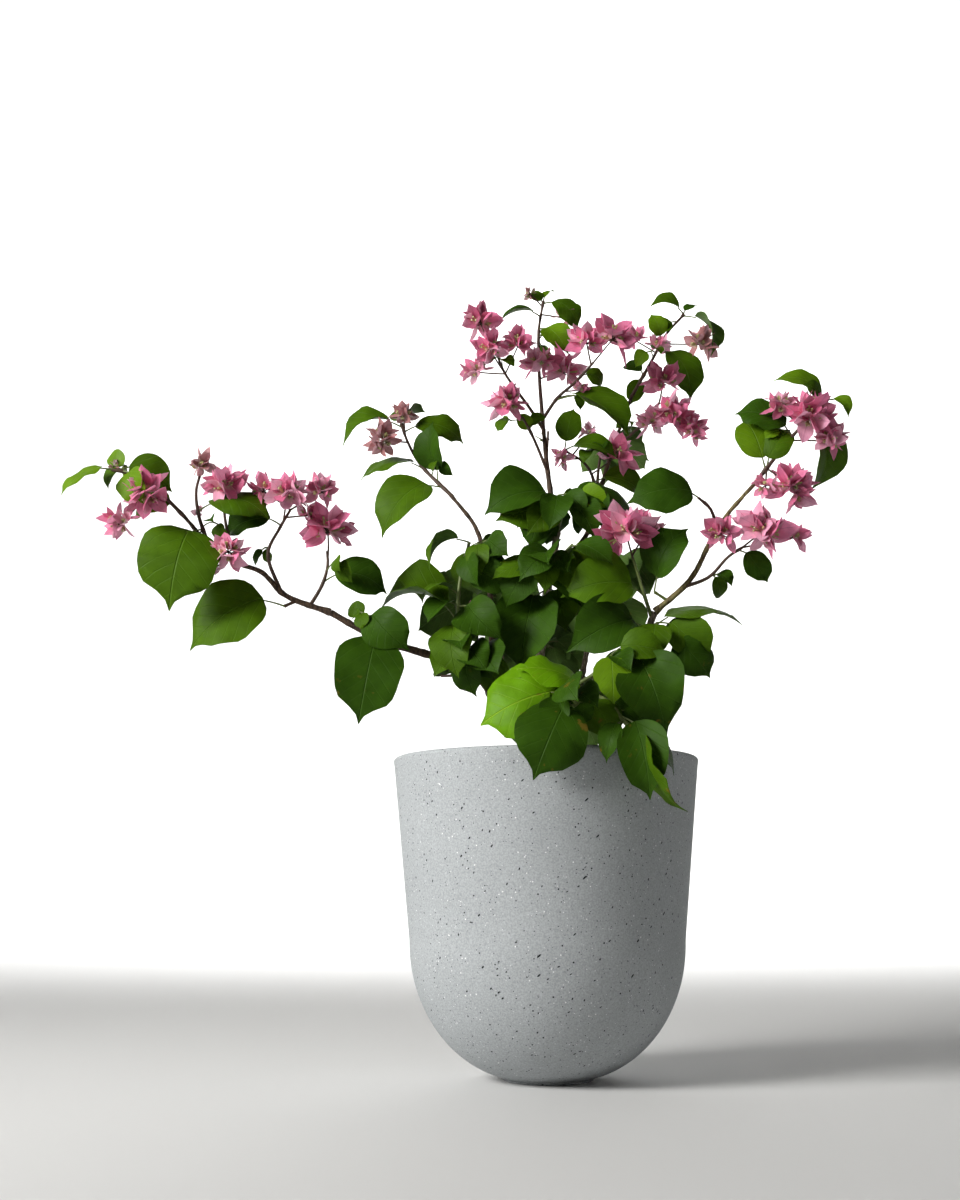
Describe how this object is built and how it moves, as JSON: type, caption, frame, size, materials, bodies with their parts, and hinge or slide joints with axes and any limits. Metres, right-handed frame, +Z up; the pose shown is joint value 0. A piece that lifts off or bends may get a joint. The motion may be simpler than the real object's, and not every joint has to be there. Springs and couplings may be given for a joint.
{
  "type": "potted bougainvillea",
  "caption": "Flowering bougainvillea bush with arching woody boughs, heart-shaped leaves and papery bracts, growing in a round-bottomed speckled planter.",
  "frame": {"origin": "centre of the pot's flat foot, on the ground", "axes": "+Z up, -Y towards the viewer, +X to the viewer's right"},
  "size_m": [0.7574, 0.4389, 0.8395],
  "materials": {
    "pot": "matte speckled grey",
    "soil": "loose dark potting mix",
    "wood": "bark",
    "foliage": "leaves and bracts"
  },
  "bodies": {
    "root": {"trunk": "wood", "bough_left": "wood", "bough_left_far": "wood", "bough_upper_left": "wood", "bough_centre": "wood", "bough_upright": "wood", "bough_top_right": "wood", "bough_right": "wood", "bough_right_far": "wood", "bough_front": "wood", "bough_back_left": "wood", "bough_back_right": "wood", "bough_back": "wood", "foliage_left_tip": "foliage", "foliage_left_rise": "foliage", "foliage_left_front": "foliage", "foliage_left_middle": "foliage", "foliage_left_inner": "foliage", "foliage_left_round": "foliage", "foliage_left_low": "foliage", "foliage_centre_left": "foliage", "foliage_upper_left": "foliage", "foliage_centre_top": "foliage", "foliage_heart": "foliage", "foliage_right_base": "foliage", "foliage_right_low": "foliage", "foliage_right_mid": "foliage", "foliage_right_inner": "foliage", "foliage_right_upper": "foliage", "foliage_right_tip": "foliage", "foliage_top_left": "foliage", "foliage_plume_left": "foliage", "foliage_plume_low": "foliage", "foliage_top_mid": "foliage", "foliage_top_right": "foliage", "foliage_top_right_side": "foliage", "foliage_mid_shoot": "foliage", "foliage_front_low": "foliage", "foliage_front_right": "foliage", "foliage_front_drop": "foliage", "foliage_back_crown": "foliage", "foliage_back_top_right": "foliage", "foliage_back_left_high": "foliage", "foliage_back_left_low": "foliage", "foliage_back_right_high": "foliage", "foliage_back_right_low": "foliage", "foliage_back_low": "foliage", "foliage_back_mid": "foliage", "pot": "pot", "soil": "soil"}
  },
  "joints": []
}
